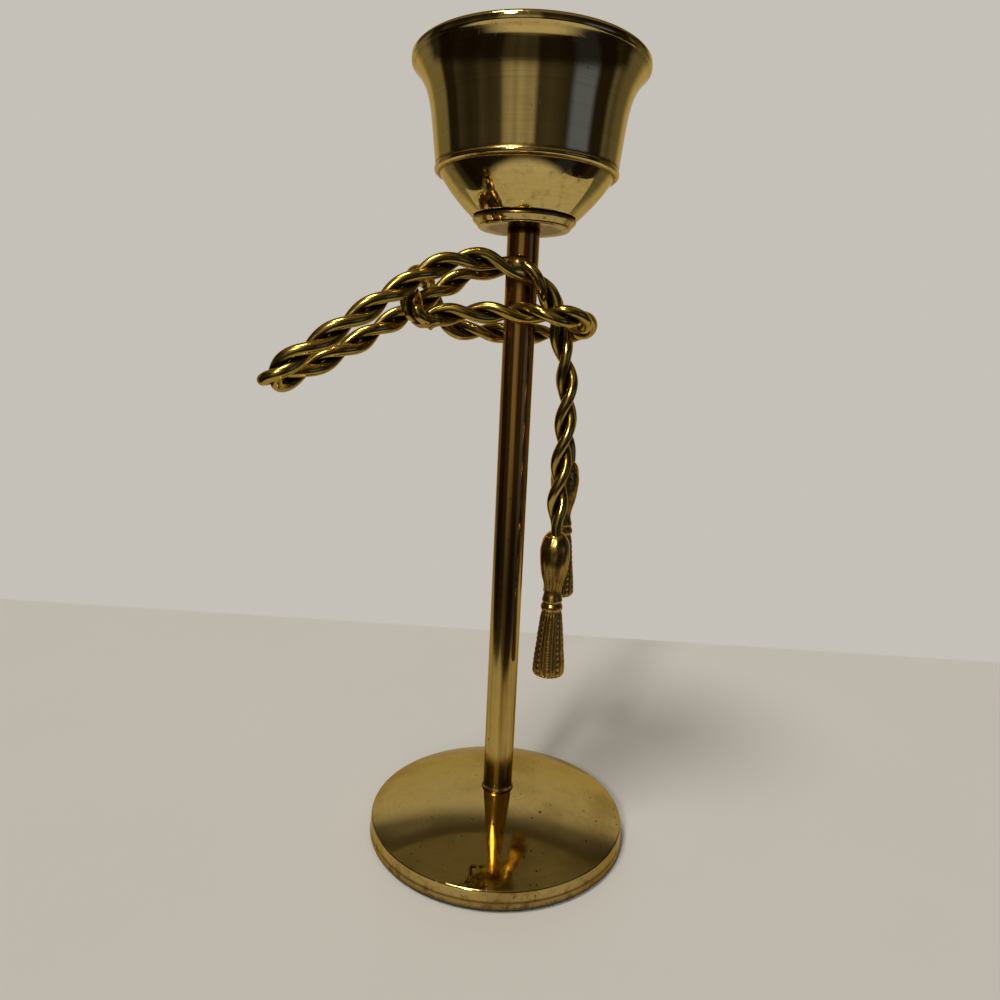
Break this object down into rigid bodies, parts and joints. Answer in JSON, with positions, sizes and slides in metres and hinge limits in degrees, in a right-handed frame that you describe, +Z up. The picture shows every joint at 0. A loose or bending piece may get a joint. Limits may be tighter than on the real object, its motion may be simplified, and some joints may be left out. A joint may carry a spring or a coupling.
{
  "type": "candlestick",
  "caption": "Brass candlestick with a domed foot, tube stem and wide bell cup, and a twisted wire rope with tassels tied round the stem.",
  "frame": {"origin": "centre of the resting face, on the underside of the felt pad", "axes": "+Z up along the stem towards the cup, -Y towards the side from which the front tassel hangs nearest, -X towards the rope's bent end"},
  "size_m": [0.1313, 0.1026, 0.288],
  "materials": {
    "polished_brass": "mirror polished and lacquered",
    "wire_brass": "polished",
    "cast_brass": "cast, brown in the hollows",
    "solder": "ragged hard solder",
    "plated_steel": "dull zinc plating",
    "felt": "pressed wool felt"
  },
  "bodies": {
    "root": {"felt_pad": "felt", "base": "polished_brass", "stem_tube": "polished_brass", "cup_foot": "polished_brass", "cup": "polished_brass", "tie_rod": "plated_steel", "base_washer": "plated_steel", "base_nut": "plated_steel", "cup_washer": "plated_steel", "cup_nut": "plated_steel", "long_wire_a": "wire_brass", "long_wire_b": "wire_brass", "ring_wire_a": "wire_brass", "ring_wire_b": "wire_brass", "solder_stem": "solder", "solder_ring": "solder", "front_tassel": "cast_brass", "rear_tassel": "cast_brass"}
  },
  "joints": []
}
